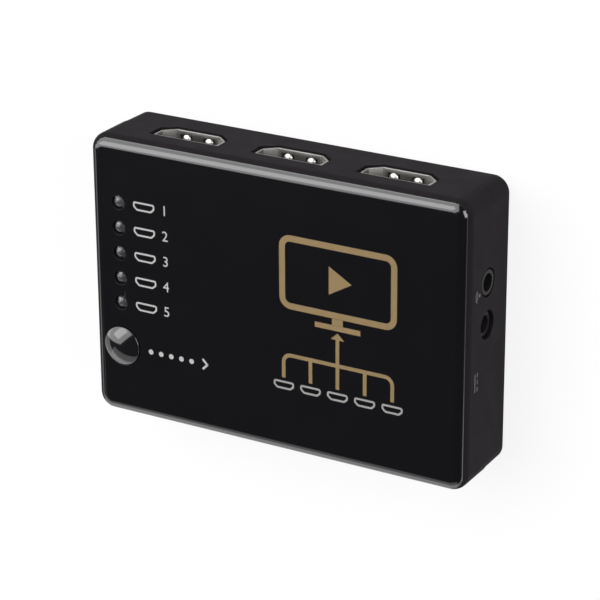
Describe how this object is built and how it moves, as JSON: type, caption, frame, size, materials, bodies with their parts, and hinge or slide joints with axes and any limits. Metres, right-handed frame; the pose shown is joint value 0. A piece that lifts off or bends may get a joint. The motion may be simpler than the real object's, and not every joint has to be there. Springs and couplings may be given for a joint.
{
  "type": "video switch box",
  "caption": "Flat black video switch box with socket rows on both long sides, indicator lamps, a round select button and two jacks on one end.",
  "frame": {"origin": "middle of the underside, on the surface that the box lies on", "axes": "+X along the socket sides towards the end with the jacks, +Y towards the socket side that the picture shows, +Z out of the labelled panel"},
  "size_m": [0.084, 0.0596, 0.0193],
  "materials": {
    "case_plastic": "fine moulded texture, smooth panel",
    "screw_steel": "blackened steel",
    "board_laminate": "solder resist over glass laminate",
    "socket_steel": "nickel plated sheet",
    "socket_plastic": "moulded",
    "contact_gilt": "thin gilt",
    "lamp_lens": "clear cast resin",
    "tinned_leads": "tinned",
    "button_plastic": "polished",
    "switch_plastic": "moulded",
    "switch_steel": "stamped sheet",
    "jack_plastic": "moulded",
    "pin_plating": "nickel plated",
    "spring_bronze": "spring strip",
    "chip_resin": "moulded resin",
    "can_aluminium": "drawn can",
    "can_base_plastic": "moulded",
    "capacitor_ceramic": "fired ceramic",
    "resistor_ceramic": "glazed"
  },
  "bodies": {
    "case": {"top_cover": "case_plastic", "bottom_cover": "case_plastic", "case_screws": "screw_steel", "circuit_board": "board_laminate", "video_socket_shell_1": "socket_steel", "video_socket_shell_2": "socket_steel", "video_socket_shell_3": "socket_steel", "video_socket_shell_4": "socket_steel", "video_socket_shell_5": "socket_steel", "video_socket_shell_6": "socket_steel", "video_socket_core_1": "socket_plastic", "video_socket_core_2": "socket_plastic", "video_socket_core_3": "socket_plastic", "video_socket_core_4": "socket_plastic", "video_socket_core_5": "socket_plastic", "video_socket_core_6": "socket_plastic", "video_socket_contacts_1": "contact_gilt", "video_socket_contacts_2": "contact_gilt", "video_socket_contacts_3": "contact_gilt", "video_socket_contacts_4": "contact_gilt", "video_socket_contacts_5": "contact_gilt", "video_socket_contacts_6": "contact_gilt", "indicator_lamp_1": "lamp_lens", "indicator_lamp_2": "lamp_lens", "indicator_lamp_3": "lamp_lens", "indicator_lamp_4": "lamp_lens", "indicator_lamp_5": "lamp_lens", "lamp_leads": "tinned_leads", "switch_terminals": "tinned_leads", "selector_leads": "tinned_leads", "controller_leads": "tinned_leads", "regulator_leads": "tinned_leads", "switch_housing": "switch_plastic", "switch_plate": "switch_steel", "switch_dome": "switch_steel", "power_jack_body": "jack_plastic", "round_jack_body": "jack_plastic", "power_jack_pin": "pin_plating", "power_jack_spring": "spring_bronze", "round_jack_springs": "spring_bronze", "selector_chip": "chip_resin", "controller_chip": "chip_resin", "regulator": "chip_resin", "filter_capacitor_can": "can_aluminium", "filter_capacitor_base": "can_base_plastic", "small_capacitors": "capacitor_ceramic", "resistors": "resistor_ceramic"},
    "button": {"select_button": "button_plastic"},
    "plunger": {"switch_plunger": "switch_plastic"}
  },
  "joints": [
    {"name": "button_press", "type": "slide", "parent": "case", "child": "button", "axis": [0, 0, -1], "range_m": [0, 0.0003], "stiffness_N_per_m": 5000},
    {"name": "plunger_press", "type": "slide", "parent": "case", "child": "plunger", "axis": [0, 0, -1], "range_m": [0, 0.0003], "deforming": ["switch_dome"]}
  ],
  "couplings": [
    {"joint": "plunger_press", "follows": "button_press", "ratio": 1}
  ]
}
